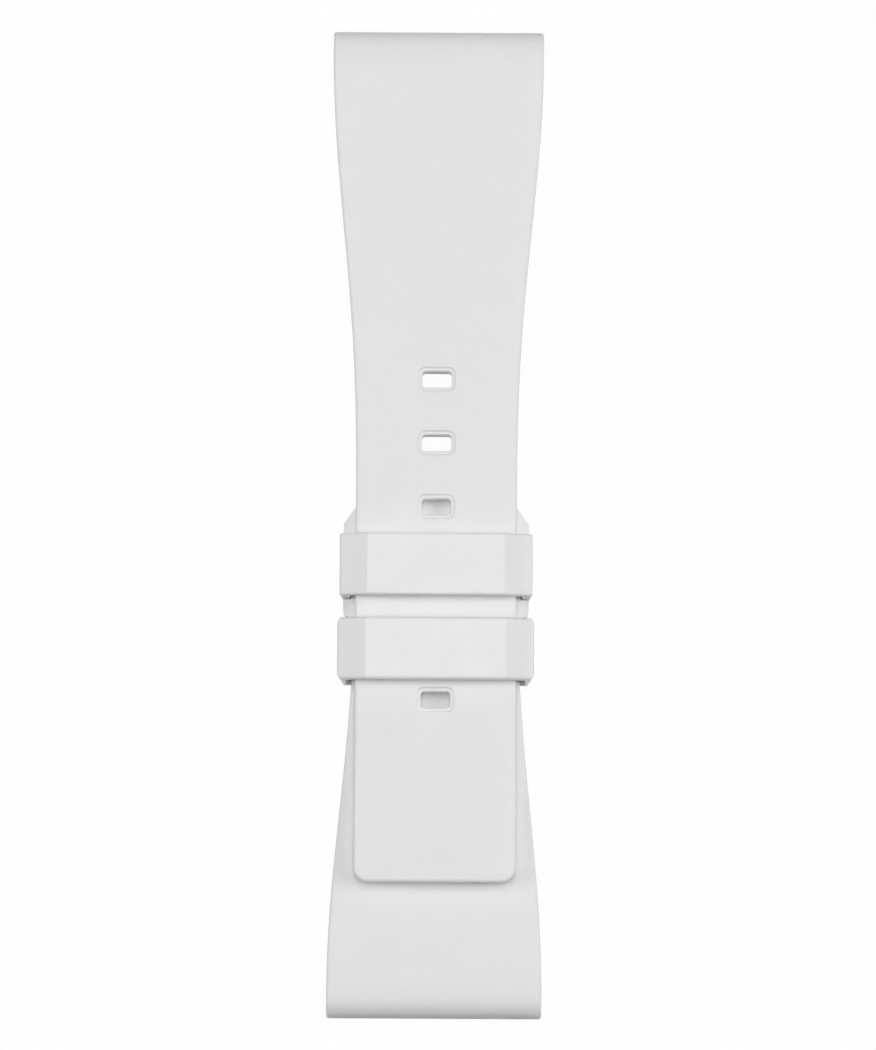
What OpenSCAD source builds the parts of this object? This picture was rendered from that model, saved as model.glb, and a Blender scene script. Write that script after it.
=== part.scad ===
// Two-piece rubber watch strap, closed on its buckle and laid flat.
// +Y runs to the lug end of the long half, +Z is the outer face, and the strap lies on z = 0.
// The origin is the middle of the base. All sizes are in millimetres.

/* [Strap] */
// Length over both lug ends with the strap closed
closed_len = 112.6; // [110:0.2:114]
// Width at both lug ends
lug_w = 24; // [22:0.5:26]
// Width of the narrow stretch at the buckle and tail
strap_w = 18.1; // [17.5:0.1:18.2]
// Thickness of the long half in its narrow stretch
strap_t = 2; // [1.8:0.1:2.2]
// Thickness of both lug ends, which end in a full round
lug_t = 4; // [3.8:0.1:4.6]
// Distance from the lug end at which the width starts to fall
taper_start = 2.9; // [2:0.1:6]
// Length over which the width falls
taper_len = 58; // [50:1:62]
// Length of the long half
long_len = 97.6; // [95:0.2:100]
// Radius of the tail's two corners in plan
tail_r = 1.6; // [0.5:0.1:3]

/* [Holes] */
// Number of strap holes
hole_count = 6; // [4:1:7]
// Distance between hole centres
hole_pitch = 7.28; // [6.9:0.02:7.5]
// Width of a hole, across the strap
hole_w = 3.3; // [3.1:0.1:4]
// Length of a hole, along the strap
hole_l = 1.86; // [1.7:0.02:2.4]
// Width of the recess around a hole
rim_w = 4.14; // [4.1:0.02:5]
// Length of the recess around a hole
rim_l = 2.7; // [2.7:0.1:3.4]
// Depth of the recess around a hole
rim_depth = 0.22; // [0.1:0.02:0.5]

/* [Keepers] */
// Length of each keeper, along the strap
keeper_l = 7; // [6:0.1:7]
// Outside width of the fixed keeper
fixed_keeper_w = 21.7; // [21.5:0.1:22.4]
// Outside width of the free keeper
free_keeper_w = 22.1; // [22:0.1:23]
// Height of the fixed keeper
fixed_keeper_h = 7.2; // [7.2:0.1:8]
// Height of the free keeper
free_keeper_h = 7.3; // [7.2:0.1:8]
// Thickness of a keeper's upper wall
keeper_top_t = 1.1; // [0.9:0.05:1.15]
// Thickness of a keeper's lower wall
keeper_base_t = 1; // [0.8:0.05:1]
// How far the two sloped facets drop from the flat top
facet_drop = 0.9; // [0.5:0.1:1.2]
// How far each side of a keeper leans in at its base
side_lean = 0.35; // [0:0.05:0.4]

/* [Buckle] */
// Width of the buckle plate over its shoulders
plate_w = 20.9; // [20.8:0.1:21.2]
// Length of the plate in front of the hinge
plate_reach = 14.6; // [13.5:0.1:15]
// Width of the plate at the waist that holds the fixed keeper
waist_w = 19.1; // [18.8:0.1:19.2]
// Diameter of the spring bar's body
bar_d = 1.3; // [1.1:0.05:1.3]
// Diameter of the spring bar's tips
tip_d = 0.76; // [0.6:0.02:0.8]
// How far a tip can be pushed in
tip_travel = 1.3; // [1:0.1:1.3]

/* [Lug ends] */
// Outside diameter of the tube in a lug end
lug_tube_od = 2.5; // [2.2:0.1:2.8]
// Bore of that tube, for a spring bar
lug_tube_id = 2; // [1.6:0.1:2.1]

/* [Hidden] */

rubber = [0.89, 0.89, 0.89];
coated = [0.86, 0.86, 0.87];
steel = [0.72, 0.73, 0.75];
round_fn = 48;
step = 2;                  // spacing of the points along the strap's curves
eps = 0.01;                // overlap that makes two cuts meet cleanly

// Places along the strap
lug_y = closed_len / 2;
end_r = lug_t / 2;
end_y = lug_y - end_r;     // axis of the lug tube, and centre of the round end
tail_y = lug_y - long_len;
hinge_y = -10.5;
plate_front_y = hinge_y + plate_reach;
ear_back_y = hinge_y - 0.8;
fixed_keeper_y = -5.66;    // middle of the fixed keeper
free_keeper_y = -15.17;    // middle of the free keeper
stud_y = -6.28;
first_hole_y = stud_y + 3 * hole_pitch;

// Heights
hinge_z = 2.35;
knuckle_r = 1.3;
plate_base_z = 1.15;
plate_top_z = 3.6;
long_ride = 3.75;          // underside of the long half over the buckle
long_low_y = 6;            // the long half is level from here to the free keeper
short_base = 1.2;          // underside of the short half inside the free keeper
short_top = 3.55;
short_level_y = -24;       // the short half is level from here to the hinge
short_rise = 0.6;          // rise of the short half's outer face under the tail
tail_rise = 0.55;          // rise of the tail along it
rise_len = 18;
short_under_y = -26;       // the short half's underside is level from here to the hinge
lug_fall = 0.15;           // fall of the short half's outer face towards its lug end
lug_fall_y = -42;
lug_fall_len = 12;

// Powers that shape the taper at its two ends
taper_in = 1.93;
taper_out = 4.2;

// Holes and tail
hole_r = 0.35;
rim_r = 0.77;

// Keepers: width of the flat top, and inside width
fixed_flat = 15.4;
free_flat = 15.7;
free_inner_w = 20.1;
keeper_base_r = 0.5;
fixed_plan_r = 0.25;
free_plan_r = 0.75;

// Hinge: step in of the short half beside the ears, bores and the bar's inner parts
neck_step = 0.3;
neck_len = 1.6;
hinge_bore_r = 0.9;
ear_step = 0.2;
bar_half = 7;              // half the length of the spring bar's body
bar_bore = tip_d / 2 + 0.02;
stem_r = tip_d / 2 - 0.02;
stem_in = 4.5;             // inner end of each tip, where the spring bears
rivet_r = 0.55;
rivet_base = 0.4;          // height of the rivet's end above the plate's underside

// Smooth step from 0 to 1
function smooth(t) = let (u = min(max(t, 0), 1)) u * u * (3 - 2 * u);

// Half the strap's width at a distance from its lug end: a long bell-shaped fall
function half_width(d) =
    let (t = min(max(d - taper_start, 0) / taper_len, 1))
    strap_w / 2 + (lug_w - strap_w) / 2 * pow(1 - pow(t, taper_in), taper_out);

// Outer face and underside of the long half
function long_fall(y) = smooth((end_y - y) / (end_y - long_low_y));
function tail_lift(y) = tail_rise * smooth((short_level_y - y) / rise_len);
function long_top(y) = lug_t + (long_ride + strap_t - lug_t) * long_fall(y) + tail_lift(y);
function long_under(y) = long_ride * long_fall(y) + tail_lift(y);

// Outer face and underside of the short half
function short_outer(y) = short_top + short_rise * smooth((short_level_y - y) / rise_len)
    - lug_fall * smooth((lug_fall_y - y) / lug_fall_len);
function short_under(y) =
    let (start_y = 2 - end_y)
    short_base * smooth((y - start_y) / (short_under_y - start_y));

// Points along an arc, both ends included
function arc(c, r, a0, a1, n = 8) =
    [for (i = [0 : n]) let (a = a0 + (a1 - a0) * i / n) [c[0] + r * cos(a), c[1] + r * sin(a)]];

// Heights between two places as points of the side view
function stations(y0, y1) =
    let (n = ceil(abs(y1 - y0) / step)) [for (i = [0 : n]) y0 + (y1 - y0) * i / n];

module rounded_rect(w, l, r) {
    square([w - 2 * r, l], center = true);
    square([w, l - 2 * r], center = true);
    for (x = [-1, 1])
        for (y = [-1, 1])
            translate([x * (w / 2 - r), y * (l / 2 - r)])
                circle(r = r, $fn = 24);
}

// A cylinder along X, centred
module bar_x(r, len, y, z) {
    translate([-len / 2, y, z])
        rotate([0, 90, 0])
            cylinder(r = r, h = len, $fn = round_fn);
}

// A side view, as points [y, z], carried right across the strap
module across(points, width) {
    translate([-width / 2, 0, 0])
        rotate([90, 0, 90])
            linear_extrude(width)
                polygon(points);
}

module one_hole(y) {
    translate([0, y, long_under(y) - 1])
        linear_extrude(strap_t + 2)
            rounded_rect(hole_w, hole_l, hole_r);
    translate([0, y, long_top(y) - rim_depth])
        linear_extrude(1)
            rounded_rect(rim_w, rim_l, rim_r);
}

module long_plan() {
    ys = stations(lug_y, tail_y + tail_r);
    right = [for (y = ys) [half_width(lug_y - y), y]];
    left = [for (i = [len(ys) - 1 : -1 : 0]) [-half_width(lug_y - ys[i]), ys[i]]];
    half = strap_w / 2;
    tip_right = arc([half - tail_r, tail_y + tail_r], tail_r, -11.25, -90, 7);
    tip_left = arc([tail_r - half, tail_y + tail_r], tail_r, -90, -168.75, 7);
    polygon(concat(right, tip_right, tip_left, left));
}

module long_side() {
    ys = stations(end_y, tail_y);
    upper = [for (y = ys) [y, long_top(y)]];
    lower = [for (i = [len(ys) - 1 : -1 : 0]) [ys[i], long_under(ys[i])]];
    round_end = arc([end_y, end_r], end_r, -78.75, 78.75, 14);
    across(concat(upper, lower, round_end), lug_w + 2);
}

module long_strap() {
    color(rubber)
        difference() {
            intersection() {
                linear_extrude(20, center = true)
                    long_plan();
                long_side();
            }
            for (i = [0 : hole_count - 1])
                one_hole(first_hole_y - i * hole_pitch);
            bar_x(lug_tube_od / 2, lug_w + 2, end_y, end_r);
        }
}

module short_plan() {
    neck_y = hinge_y - neck_len;
    knuckle_x = strap_w / 2 - neck_step;
    ys = stations(-lug_y, neck_y);
    right = [for (y = ys) [half_width(lug_y + y), y]];
    left = [for (i = [len(ys) - 1 : -1 : 0]) [-half_width(lug_y + ys[i]), ys[i]]];
    neck = [[knuckle_x, neck_y], [knuckle_x, 0], [-knuckle_x, 0], [-knuckle_x, neck_y]];
    polygon(concat(right, neck, left));
}

module short_side() {
    ys = stations(-end_y, hinge_y);
    upper = [for (i = [len(ys) - 1 : -1 : 0]) [ys[i], short_outer(ys[i])]];
    lower = [for (y = ys) [y, short_under(y)]];
    round_end = arc([-end_y, end_r], end_r, 101.25, 258.75, 14);
    across(concat(upper, round_end, lower), lug_w + 2);
}

module short_strap() {
    color(rubber)
        difference() {
            intersection() {
                linear_extrude(20, center = true)
                    short_plan();
                union() {
                    short_side();
                    bar_x(knuckle_r, lug_w, hinge_y, hinge_z);
                }
            }
            bar_x(hinge_bore_r, lug_w, hinge_y, hinge_z);
            bar_x(lug_tube_od / 2, lug_w + 2, -end_y, end_r);
        }
}

// A keeper: a loop with a flat top and two sloped facets
module keeper(y, width, inner, height, flat, plan_r) {
    half = width / 2;
    foot = half - side_lean;
    outside = [[foot, keeper_base_r], [half, height - facet_drop], [flat / 2, height],
               [-flat / 2, height], [-half, height - facet_drop], [-foot, keeper_base_r],
               [keeper_base_r - foot, 0], [foot - keeper_base_r, 0]];
    roof = height - keeper_top_t;
    inside = [[inner / 2, keeper_base_t], [inner / 2, roof - 0.5], [inner / 2 - 1.5, roof],
              [1.5 - inner / 2, roof], [-inner / 2, roof - 0.5], [-inner / 2, keeper_base_t]];
    difference() {
        intersection() {
            translate([0, y + keeper_l / 2, 0])
                rotate([90, 0, 0])
                    linear_extrude(keeper_l)
                        polygon(outside);
            translate([0, y, 0])
                linear_extrude(height)
                    rounded_rect(width, keeper_l, plan_r);
        }
        translate([0, y + keeper_l / 2 + 1, 0])
            rotate([90, 0, 0])
                linear_extrude(keeper_l + 2)
                    polygon(inside);
    }
}

module fixed_keeper() {
    color(rubber)
        keeper(fixed_keeper_y, fixed_keeper_w, waist_w + 0.2, fixed_keeper_h, fixed_flat,
               fixed_plan_r);
}

module free_keeper() {
    color(rubber)
        keeper(free_keeper_y, free_keeper_w, free_inner_w, free_keeper_h, free_flat,
               free_plan_r);
}

// Outline of the plate: chamfered nose, waist for the fixed keeper, ears beside the hinge
module plate_plan() {
    half = plate_w / 2;
    nose_x = half - 3.4;
    chamfer_y = plate_front_y - 4.8;
    waist_x = waist_w / 2;
    waist_front = fixed_keeper_y + keeper_l / 2 + 0.1;
    waist_back = fixed_keeper_y - keeper_l / 2 - 0.1;
    ear_x = strap_w / 2 - ear_step;
    ear_gap_y = hinge_y + neck_len;
    back_r = 0.8;
    back_right = arc([half - back_r, ear_back_y + back_r], back_r, 0, -90, 6);
    back_left = arc([back_r - half, ear_back_y + back_r], back_r, -90, -180, 6);
    polygon(concat(
        [[nose_x, plate_front_y], [half, chamfer_y], [half, waist_front], [waist_x, waist_front],
         [waist_x, waist_back], [half, waist_back]],
        back_right,
        [[ear_x, ear_back_y], [ear_x, ear_gap_y], [-ear_x, ear_gap_y], [-ear_x, ear_back_y]],
        back_left,
        [[-half, waist_back], [-waist_x, waist_back], [-waist_x, waist_front],
         [-half, waist_front], [-half, chamfer_y], [-nose_x, plate_front_y]]));
}

// Cuts one shoulder down towards its outer edge
module shoulder_cut(side) {
    inner_x = strap_w / 2;
    outer_x = plate_w / 2 + 1;
    drop = 0.65;
    translate([0, plate_front_y + 1, 0])
        rotate([90, 0, 0])
            linear_extrude(plate_reach + 4)
                polygon([[side * inner_x, plate_top_z + eps], [side * outer_x, plate_top_z + eps],
                         [side * outer_x, plate_top_z - drop]]);
}

module buckle_plate() {
    ear_x = strap_w / 2 - ear_step;
    tip_hole = 1.45;
    color(coated)
        difference() {
            translate([0, 0, plate_base_z])
                linear_extrude(plate_top_z - plate_base_z)
                    plate_plan();
            for (side = [-1, 1])
                shoulder_cut(side);
            bar_x(tip_d / 2 + 0.05, 2 * (ear_x + tip_hole), hinge_y, hinge_z);
            translate([0, stud_y, plate_base_z + rivet_base])
                cylinder(r = rivet_r, h = 4, $fn = round_fn);
        }
}

module buckle_stud() {
    stud_h = 1.7;
    color(coated)
        union() {
            translate([0, stud_y, plate_base_z + rivet_base])
                cylinder(r = rivet_r, h = plate_top_z - plate_base_z - rivet_base + eps,
                         $fn = round_fn);
            translate([0, stud_y, plate_top_z])
                linear_extrude(stud_h)
                    rounded_rect(hole_w - 0.4, hole_l - 0.36, 0.3);
        }
}

module buckle_bar_tube() {
    color(steel)
        difference() {
            bar_x(bar_d / 2, 2 * bar_half, hinge_y, hinge_z);
            bar_x(bar_bore, 2 * bar_half + 2, hinge_y, hinge_z);
        }
}

// One sprung tip: stem in the bar, collar against a tool, and the tip itself
module bar_tip(side) {
    collar_x = bar_half + tip_travel;
    collar_t = 0.3;
    tip_end = collar_x + 1.8;
    translate([0, hinge_y, hinge_z])
        rotate([0, side * 90, 0]) {
            translate([0, 0, stem_in])
                cylinder(r = stem_r, h = collar_x - stem_in + eps, $fn = round_fn);
            translate([0, 0, collar_x])
                cylinder(r = bar_d / 2 - 0.03, h = collar_t, $fn = round_fn);
            translate([0, 0, collar_x])
                cylinder(r = tip_d / 2, h = tip_end - collar_x, $fn = round_fn);
        }
}

module buckle_bar_tip_left() {
    color(steel)
        bar_tip(-1);
}

module buckle_bar_tip_right() {
    color(steel)
        bar_tip(1);
}

// The coil spring between the tips: a round wire swept along a helix
module buckle_bar_spring() {
    wire_r = 0.07;
    coil_r = stem_r - wire_r - 0.02;
    turns = 18;
    per_turn = 12;
    sides = 6;
    rings = turns * per_turn;
    half = stem_in - wire_r - 0.02;
    points = [for (i = [0 : rings], k = [0 : sides - 1])
        let (a = 360 * i / per_turn, b = 360 * k / sides, r = coil_r + wire_r * cos(b))
            [-half + 2 * half * i / rings + wire_r * sin(b), hinge_y + r * cos(a), hinge_z + r * sin(a)]];
    walls = [for (i = [0 : rings - 1], k = [0 : sides - 1])
        let (m = (k + 1) % sides)
            [i * sides + k, (i + 1) * sides + k, (i + 1) * sides + m, i * sides + m]];
    caps = [[for (k = [0 : sides - 1]) k],
            [for (k = [sides - 1 : -1 : 0]) rings * sides + k]];
    color(steel)
        polyhedron(points = points, faces = concat(walls, caps));
}

// A plain tube along X
module sleeve(outer_r, inner_r, length, y, z) {
    color(steel)
        difference() {
            bar_x(outer_r, length, y, z);
            bar_x(inner_r, length + 2, y, z);
        }
}

module long_end_tube() {
    sleeve(lug_tube_od / 2, lug_tube_id / 2, lug_w - 0.2, end_y, end_r);
}

module short_end_tube() {
    sleeve(lug_tube_od / 2, lug_tube_id / 2, lug_w - 0.2, -end_y, end_r);
}

module buckle_end_tube() {
    sleeve(hinge_bore_r, bar_d / 2 + 0.05, strap_w - 0.7, hinge_y, hinge_z);
}

long_strap();
short_strap();
fixed_keeper();
free_keeper();
buckle_plate();
buckle_stud();
buckle_bar_tube();
buckle_bar_tip_left();
buckle_bar_tip_right();
buckle_bar_spring();
long_end_tube();
short_end_tube();
buckle_end_tube();
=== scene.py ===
"""White rubber watch strap, closed on its buckle: its pieces, finishes, floor, light and camera.

The frame gives every place. Shapes are worked out in millimetres and turned into metres
when their mesh is made. +Y runs to the lug end of the long half, and +Z is the outer face.
"""

import logging
import math
from dataclasses import dataclass, field
from enum import Enum
from typing import ClassVar

import bmesh
import bpy
import numpy as np
from mathutils import Matrix, Vector


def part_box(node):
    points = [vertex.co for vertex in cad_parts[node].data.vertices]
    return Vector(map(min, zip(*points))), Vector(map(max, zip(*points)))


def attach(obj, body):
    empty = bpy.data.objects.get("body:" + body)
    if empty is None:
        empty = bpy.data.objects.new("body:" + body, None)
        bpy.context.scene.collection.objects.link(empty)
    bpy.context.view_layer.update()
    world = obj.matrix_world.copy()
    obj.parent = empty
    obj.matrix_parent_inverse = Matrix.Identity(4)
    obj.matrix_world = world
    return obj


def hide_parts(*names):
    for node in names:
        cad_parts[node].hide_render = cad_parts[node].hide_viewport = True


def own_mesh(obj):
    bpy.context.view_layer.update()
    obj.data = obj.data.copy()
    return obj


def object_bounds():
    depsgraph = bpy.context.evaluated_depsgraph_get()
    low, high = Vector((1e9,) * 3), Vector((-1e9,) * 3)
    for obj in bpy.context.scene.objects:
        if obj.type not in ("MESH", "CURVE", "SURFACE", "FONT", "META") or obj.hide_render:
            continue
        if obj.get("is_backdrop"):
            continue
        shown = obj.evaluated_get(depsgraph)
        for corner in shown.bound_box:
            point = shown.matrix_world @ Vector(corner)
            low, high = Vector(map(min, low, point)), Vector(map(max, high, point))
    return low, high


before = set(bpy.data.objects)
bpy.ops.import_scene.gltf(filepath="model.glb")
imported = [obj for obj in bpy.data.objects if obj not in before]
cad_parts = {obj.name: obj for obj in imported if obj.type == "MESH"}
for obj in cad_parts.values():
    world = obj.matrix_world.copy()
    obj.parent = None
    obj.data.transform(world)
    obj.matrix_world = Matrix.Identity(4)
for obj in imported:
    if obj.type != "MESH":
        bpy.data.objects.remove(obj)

log = logging.getLogger("strap")
MM = 0.001
MERGE = 4e-7                            # points closer than this, in metres, are one point
MIRROR = np.array([-1.0, 1.0, 1.0])     # turns a point on the right into its twin on the left
NOISE_SPAN = (0.3, 0.7)                 # the values between which a noise mostly stays


class Body(Enum):
    """The frame's bodies."""

    SHORT = "short_half"
    BUCKLE = "buckle"
    FREE_KEEPER = "slide_keeper"
    TIP_LEFT = "tip_left"
    TIP_RIGHT = "tip_right"


class Slot(Enum):
    """The record's material slots."""

    RUBBER = "white_rubber"
    COATING = "white_coating"
    STEEL = "bar_steel"
    SPRING = "spring_steel"


# ---------------------------------------------------------------- shape helpers


@dataclass(frozen=True)
class Box:
    """A CAD node's box, in millimetres."""

    low: np.ndarray
    high: np.ndarray

    @classmethod
    def of(cls, node: str) -> "Box":
        """The box of the named node."""
        return cls(*(np.array(corner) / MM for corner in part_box(node)))

    @property
    def middle(self) -> np.ndarray:
        """The box's centre."""
        return (self.low + self.high) / 2

    @property
    def half(self) -> np.ndarray:
        """Half the box's size."""
        return (self.high - self.low) / 2

    @property
    def axis(self) -> tuple[float, float]:
        """y and z of the line along X through the centre."""
        return tuple(self.middle[1:])


def smooth(t: np.ndarray | float) -> np.ndarray:
    """Smooth step from 0 to 1: u squared times (3 - 2u), where u is t held between 0 and 1."""
    u = np.clip(t, 0.0, 1.0)
    return u * u * (3.0 - 2.0 * u)


def degrees(start: float, end: float, steps: int) -> np.ndarray:
    """Evenly spaced angles from start to end, both in degrees, given back in radians."""
    return np.radians(np.linspace(start, end, steps + 1))


def full_turn(steps: int) -> np.ndarray:
    """Evenly spaced angles once round, as one row, without the last that equals the first."""
    return np.linspace(0, 2 * math.pi, steps, endpoint=False)[None, :]


def stack(*parts: np.ndarray) -> np.ndarray:
    """Arrays of one shape put side by side as the last axis of a new array."""
    return np.stack(np.broadcast_arrays(*parts), axis=-1)


def rounded_path(corners: np.ndarray, radii: np.ndarray, arc_steps: int,
                 fractions: tuple[float, ...]) -> tuple[np.ndarray, np.ndarray]:
    """A closed polygon with each corner replaced by an arc.

    The arc touches both sides at radius times tan(half the turn) from the corner, and its
    points are centre plus radius times a normal that turns evenly from one side to the next.

    Args:
        corners: the corners in anticlockwise order, shape (n, 2).
        radii: one radius for each corner.
        arc_steps: how many steps each arc has.
        fractions: where along each straight side its inner points lie.

    Returns:
        The points and their outward normals, each of shape (count, 2).
    """
    before = corners - np.roll(corners, 1, axis=0)
    before /= np.linalg.norm(before, axis=1, keepdims=True)
    after = np.roll(before, -1, axis=0)
    start = np.arctan2(-before[:, 0], before[:, 1])
    turned_by = np.arccos(np.clip((before * after).sum(axis=1), -1.0, 1.0))
    reach = radii * np.tan(turned_by / 2)
    angle = start[:, None] + turned_by[:, None] * np.linspace(0, 1, arc_steps + 1)[None, :]
    arc_normal = stack(np.cos(angle), np.sin(angle))
    centre = corners - before * reach[:, None] - arc_normal[:, 0] * radii[:, None]
    arcs = centre[:, None] + radii[:, None, None] * arc_normal
    share = np.array(fractions)[None, :, None]
    sides = arcs[:, -1:] + (np.roll(arcs, -1, axis=0)[:, :1] - arcs[:, -1:]) * share
    side_normal = np.broadcast_to(arc_normal[:, -1:], sides.shape)
    points = np.concatenate([arcs, sides], axis=1).reshape(-1, 2)
    normals = np.concatenate([arc_normal, side_normal], axis=1).reshape(-1, 2)
    return points, normals


def ray_to_rounded_box(direction: np.ndarray, half: tuple[float, float],
                       radius: float) -> np.ndarray:
    """Where rays from the middle of a rounded rectangle cross its outline.

    A ray first meets a straight side at the smaller of half width over dx and half length
    over dy. Where that lies beyond a corner's centre, the crossing with the corner's circle
    takes its place: d.c + sqrt((d.c)^2 - c.c + r^2), for unit direction d and centre c.

    Args:
        direction: unit directions, shape (count, 2).
        half: half the width and half the length.
        radius: the corner radius.

    Returns:
        The crossings, shape (count, 2).
    """
    least = 1e-9                        # keeps a ray along one axis from dividing by nothing
    d = np.abs(direction)
    size = np.array(half)
    straight = np.min(size / np.maximum(d, least), axis=1)
    centre = size - radius
    in_corner = np.all(d * straight[:, None] > centre, axis=1)
    along = d @ centre
    curved = along + np.sqrt(np.maximum(along**2 - centre @ centre + radius**2, 0))
    return direction * np.where(in_corner, curved, straight)[:, None]


def placed(name: str, data: bpy.types.ID) -> bpy.types.Object:
    """Puts a new object into the scene, at the origin.

    Args:
        name: the object's name.
        data: its mesh, lamp or camera.

    Returns:
        The new object.
    """
    made = bpy.data.objects.new(name, data)
    bpy.context.scene.collection.objects.link(made)
    return made


class Shell:
    """A closed surface gathered from grids of points, in millimetres."""

    def __init__(self) -> None:
        """Starts with no points."""
        self.points: list[np.ndarray] = []
        self.faces: list[np.ndarray] = []
        self.count = 0

    def add(self, grid: np.ndarray, keep: np.ndarray | None = None,
            ring_rows: bool = False, ring_columns: bool = False) -> None:
        """Adds a grid as four-sided faces.

        Args:
            grid: points of shape (rows, columns, 3).
            keep: which cells become faces, or None for all of them.
            ring_rows: True if the last row joins the first.
            ring_columns: True if the last column joins the first.
        """
        rows, columns = grid.shape[:2]
        index = self.count + np.arange(rows * columns).reshape(rows, columns)
        if ring_rows:
            index = np.vstack([index, index[:1]])
        if ring_columns:
            index = np.hstack([index, index[:, :1]])
        cells = stack(index[:-1, :-1], index[1:, :-1], index[1:, 1:], index[:-1, 1:])
        self.faces.append(cells.reshape(-1, 4) if keep is None else cells[keep])
        self.points.append(grid.reshape(-1, 3))
        self.count += rows * columns

    def add_mirrored(self, grid: np.ndarray) -> None:
        """Adds a grid and its mirror image across the strap's middle plane."""
        self.add(grid)
        self.add(grid * MIRROR)

    def piece(self, name: str) -> bpy.types.Object:
        """Makes the gathered grids one closed, smooth mesh with its faces outwards.

        Args:
            name: the new object's name.

        Returns:
            The object, at the origin and in metres.
        """
        mesh = bpy.data.meshes.new(name)
        mesh.from_pydata(np.concatenate(self.points) * MM, [], np.concatenate(self.faces))
        work = bmesh.new()
        work.from_mesh(mesh)
        bmesh.ops.remove_doubles(work, verts=work.verts, dist=MERGE)
        bmesh.ops.delete(work, geom=[v for v in work.verts if not v.link_faces], context="VERTS")
        return closed_piece(work, mesh, name)


def closed_piece(work: bmesh.types.BMesh, mesh: bpy.types.Mesh, name: str) -> bpy.types.Object:
    """Finishes a closed mesh: its faces are turned outwards and shaded smooth.

    Args:
        work: the mesh as it is edited, which is freed.
        mesh: the mesh that takes the result.
        name: the new object's name.

    Returns:
        The new object.
    """
    bmesh.ops.recalc_face_normals(work, faces=work.faces)
    work.to_mesh(mesh)
    work.free()
    mesh.shade_smooth()
    return placed(name, mesh)


def fit(made: bpy.types.Object, finish: bpy.types.Material, body: Body, slot: Slot,
        *nodes: str) -> bpy.types.Object:
    """Gives a finished piece its material and body, and hides the nodes it stands for.

    Args:
        made: the piece.
        finish: its material.
        body: the body that it moves with.
        slot: the material slot that its finish comes from; not used.
        nodes: the CAD nodes that it stands for.

    Returns:
        The same piece.
    """
    made.data.materials.clear()
    made.data.materials.append(finish)
    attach(made, body.value)
    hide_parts(*nodes)
    log.info("%s: %d faces, rides on %s", made.name, len(made.data.polygons), body.value)
    return made


# ---------------------------------------------------------------- finishes


class Recipe:
    """A material's node tree, built around one Principled shader."""

    def __init__(self, name: str) -> None:
        """Starts a material with a shader and Object coordinates.

        Args:
            name: the material's name.
        """
        self.material = bpy.data.materials.new(name)
        self.material.use_nodes = True
        self.tree = self.material.node_tree
        self.shader = self.tree.nodes["Principled BSDF"]
        self.place = self.tree.nodes.new("ShaderNodeTexCoord").outputs["Object"]

    def set(self, **values: float | tuple[float, ...]) -> None:
        """Sets constant values on the shader; an underscore stands for a space."""
        for name, value in values.items():
            self.shader.inputs[name.replace("_", " ")].default_value = value

    def node(self, kind: str, feeds: dict[str, bpy.types.NodeSocket],
             **values: float | tuple[float, ...]) -> bpy.types.Node:
        """Adds a node.

        Args:
            kind: the node's type, without the "ShaderNode" that each type starts with.
            feeds: what drives its inputs, by the input's name.
            values: constants for other inputs; an underscore stands for a space.

        Returns:
            The new node.
        """
        made = self.tree.nodes.new(f"ShaderNode{kind}")
        for name, value in values.items():
            made.inputs[name.replace("_", " ")].default_value = value
        for name, source in feeds.items():
            self.tree.links.new(source, made.inputs[name])
        return made

    def stretched(self, scale: tuple[float, float, float]) -> bpy.types.NodeSocket:
        """Object coordinates multiplied by a scale for each axis."""
        return self.node("Mapping", {"Vector": self.place}, Scale=scale).outputs["Vector"]

    def noise(self, size_mm: float, detail: float = 2.0,
              place: bpy.types.NodeSocket | None = None) -> bpy.types.NodeSocket:
        """Soft random variation.

        Args:
            size_mm: about how wide one patch is.
            detail: how many finer layers are added.
            place: coordinates to read, or None for Object coordinates.

        Returns:
            A value that varies around one half.
        """
        return self.node("TexNoise", {"Vector": place or self.place},
                         Scale=1.0 / (size_mm * MM), Detail=detail).outputs["Fac"]

    def tint(self, value: bpy.types.NodeSocket, dark: tuple[float, float, float],
             light: tuple[float, float, float]) -> None:
        """Colours the surface between two tones.

        Args:
            value: a noise.
            dark: the colour at the low end of the noise's span.
            light: the colour at its high end.
        """
        ramp = self.node("ValToRGB", {"Fac": value})
        for end, place, tone in zip(ramp.color_ramp.elements, NOISE_SPAN, (dark, light)):
            end.position, end.color = place, (*tone, 1.0)
        self.tree.links.new(ramp.outputs["Color"], self.shader.inputs["Base Color"])

    def gloss(self, value: bpy.types.NodeSocket, low: float, high: float) -> None:
        """Lets roughness run between two values.

        Args:
            value: a noise.
            low: the roughness at the low end of the noise's span.
            high: the roughness at its high end.
        """
        spread = self.node("MapRange", {"Value": value}, From_Min=NOISE_SPAN[0],
                           From_Max=NOISE_SPAN[1], To_Min=low, To_Max=high)
        self.tree.links.new(spread.outputs["Result"], self.shader.inputs["Roughness"])

    def relief(self, *layers: tuple[bpy.types.NodeSocket, float, float]) -> None:
        """Adds bump layers, each on top of the last.

        Args:
            layers: for each its height, its depth in micrometres and its strength.
        """
        below = {}
        for height, depth_um, strength in layers:
            bump = self.node("Bump", {"Height": height, **below}, Distance=depth_um * 1e-6,
                             Strength=strength)
            below = {"Normal": bump.outputs["Normal"]}
        self.tree.links.new(below["Normal"], self.shader.inputs["Normal"])


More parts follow.
